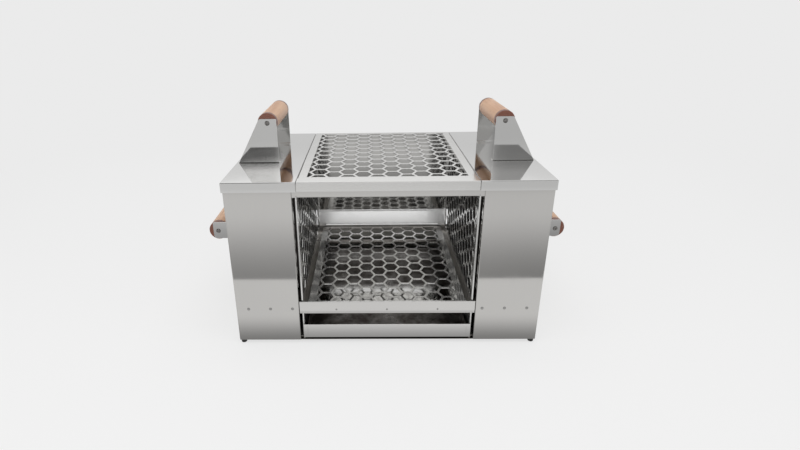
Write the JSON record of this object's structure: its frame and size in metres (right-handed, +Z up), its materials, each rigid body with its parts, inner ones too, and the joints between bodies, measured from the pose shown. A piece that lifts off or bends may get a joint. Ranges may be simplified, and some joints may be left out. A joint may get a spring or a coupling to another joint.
{
  "type": "electric fish roaster",
  "caption": "Table-top roaster of folded steel sheet: open bay between heater housings with lift-off lids, hexagon-mesh walls, grille and rack, drip-tray drawer and wooden grips.",
  "frame": {"origin": "on the table under the middle of the whole roaster", "axes": "+X to the right seen from the front, +Y to the back, +Z up; the open front of the bay faces -Y"},
  "size_m": [0.6586, 0.36, 0.3995],
  "materials": {
    "housing_sheet": "satin stainless sheet",
    "polished_sheet": "polished stainless sheet",
    "bright_sheet": "bright stainless sheet",
    "mesh_sheet": "punched stainless sheet",
    "reflector_sheet": "bright rolled",
    "heater_sheath": "heat-darkened",
    "white_ceramic": "unglazed",
    "grip_wood": "turned and stained, darker ends",
    "foot_rubber": "matte",
    "screw_steel": "zinc plated",
    "rivet_steel": "bright",
    "black_plastic": "fine texture",
    "red_plastic": "gloss",
    "pin_metal": "nickel plated"
  },
  "bodies": {
    "body": {"base_plate": "housing_sheet", "feet": "foot_rubber", "left_shell": "housing_sheet", "right_shell": "housing_sheet", "left_mesh_wall": "mesh_sheet", "right_mesh_wall": "mesh_sheet", "left_chamber_floor": "housing_sheet", "right_chamber_floor": "housing_sheet", "left_reflector": "reflector_sheet", "right_reflector": "reflector_sheet", "left_heaters": "heater_sheath", "right_heaters": "heater_sheath", "left_heater_plate": "housing_sheet", "right_heater_plate": "housing_sheet", "left_heater_clip": "housing_sheet", "right_heater_clip": "housing_sheet", "left_bushings": "white_ceramic", "right_bushings": "white_ceramic", "left_side_bracket_front": "polished_sheet", "left_side_bracket_rear": "polished_sheet", "right_side_bracket_front": "polished_sheet", "right_side_bracket_rear": "polished_sheet", "left_side_grip": "grip_wood", "right_side_grip": "grip_wood", "side_grip_screws": "screw_steel", "panel_rivets": "rivet_steel", "front_beam": "housing_sheet", "rear_wall": "polished_sheet", "rear_bar": "bright_sheet", "rear_panel": "housing_sheet", "left_rack_runner": "housing_sheet", "right_rack_runner": "housing_sheet", "left_tray_rail": "housing_sheet", "right_tray_rail": "housing_sheet", "cross_conduit": "housing_sheet", "terminal_block": "white_ceramic", "power_inlet": "black_plastic", "inlet_pins": "pin_metal", "switch_body": "black_plastic"},
    "left_lid": {"left_lid": "polished_sheet", "left_handle_front": "polished_sheet", "left_handle_rear": "polished_sheet", "left_grip": "grip_wood", "left_grip_screws": "screw_steel"},
    "right_lid": {"right_lid": "polished_sheet", "right_handle_front": "polished_sheet", "right_handle_rear": "polished_sheet", "right_grip": "grip_wood", "right_grip_screws": "screw_steel"},
    "grille": {"top_grille": "mesh_sheet"},
    "rack": {"rack": "mesh_sheet", "rack_front": "bright_sheet", "rack_rivets": "rivet_steel"},
    "tray": {"drip_tray": "bright_sheet"},
    "rocker": {"switch_rocker": "red_plastic"}
  },
  "joints": [
    {"name": "left_lid_lift", "type": "slide", "parent": "body", "child": "left_lid", "axis": [0, 0, 1], "range_m": [0, 0.12]},
    {"name": "right_lid_lift", "type": "slide", "parent": "body", "child": "right_lid", "axis": [0, 0, 1], "range_m": [0, 0.12]},
    {"name": "grille_lift", "type": "slide", "parent": "body", "child": "grille", "axis": [0, 0, 1], "range_m": [0, 0.12]},
    {"name": "rack_slide", "type": "slide", "parent": "body", "child": "rack", "axis": [0, -1, 0], "range_m": [0, 0.3]},
    {"name": "tray_slide", "type": "slide", "parent": "body", "child": "tray", "axis": [0, -1, 0], "range_m": [0, 0.31]},
    {"name": "rocker_tilt", "type": "hinge", "parent": "body", "child": "rocker", "pos_m": [0.181, 0.1748, 0.043], "axis": [1, 0, 0], "range_deg": [-16, 0]}
  ]
}
